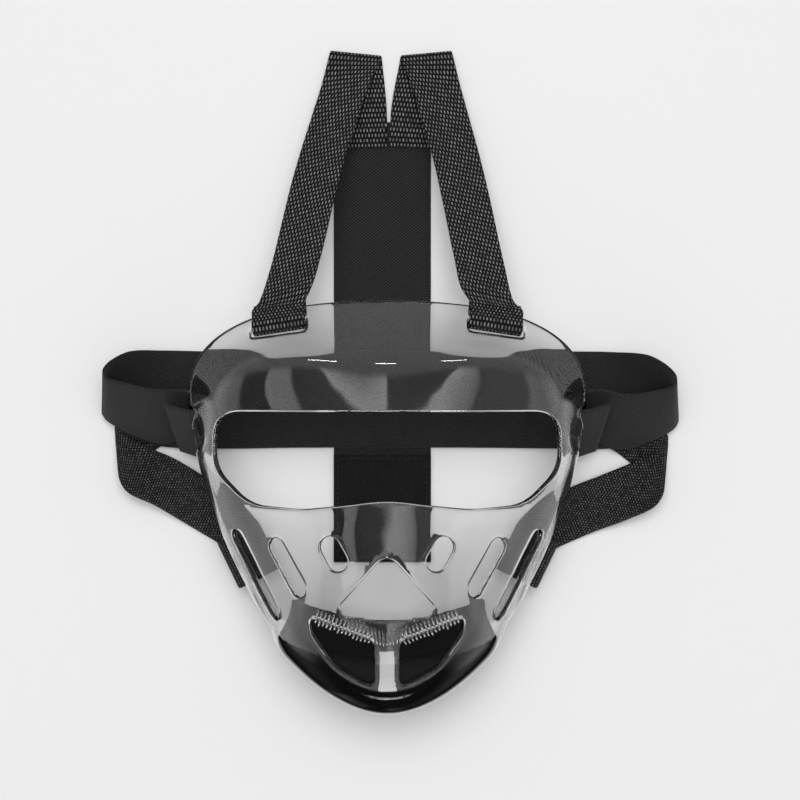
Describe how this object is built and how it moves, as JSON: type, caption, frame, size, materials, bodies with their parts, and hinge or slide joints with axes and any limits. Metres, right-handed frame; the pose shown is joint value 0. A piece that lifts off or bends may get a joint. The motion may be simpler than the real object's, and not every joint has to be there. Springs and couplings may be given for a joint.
{
  "type": "taekwondo face shield",
  "caption": "Clear moulded face shield with open eye window, nose and mouth, foam chin pad, elastic head band and webbing straps, lying on its back.",
  "frame": {"origin": "on the floor, on the underside of the crown strap where it passes under the head band", "axes": "+X to the wearer's left, +Y towards the forehead, +Z the way the face looks"},
  "size_m": [0.296, 0.3334, 0.0984],
  "materials": {
    "clear_plastic": "clear polished polycarbonate",
    "foam": "light foam with a matt knit face",
    "elastic": "woven elastic",
    "loop_pile": "fuzzy loop pile",
    "webbing": "woven nylon webbing"
  },
  "bodies": {
    "root": {"shield": "clear_plastic", "chin_pad": "foam", "crown_strap": "elastic", "loop_tape": "loop_pile", "head_band": "elastic", "top_webbing_left": "webbing", "top_webbing_right": "webbing", "jaw_webbing_left": "webbing", "jaw_webbing_right": "webbing"}
  },
  "joints": []
}
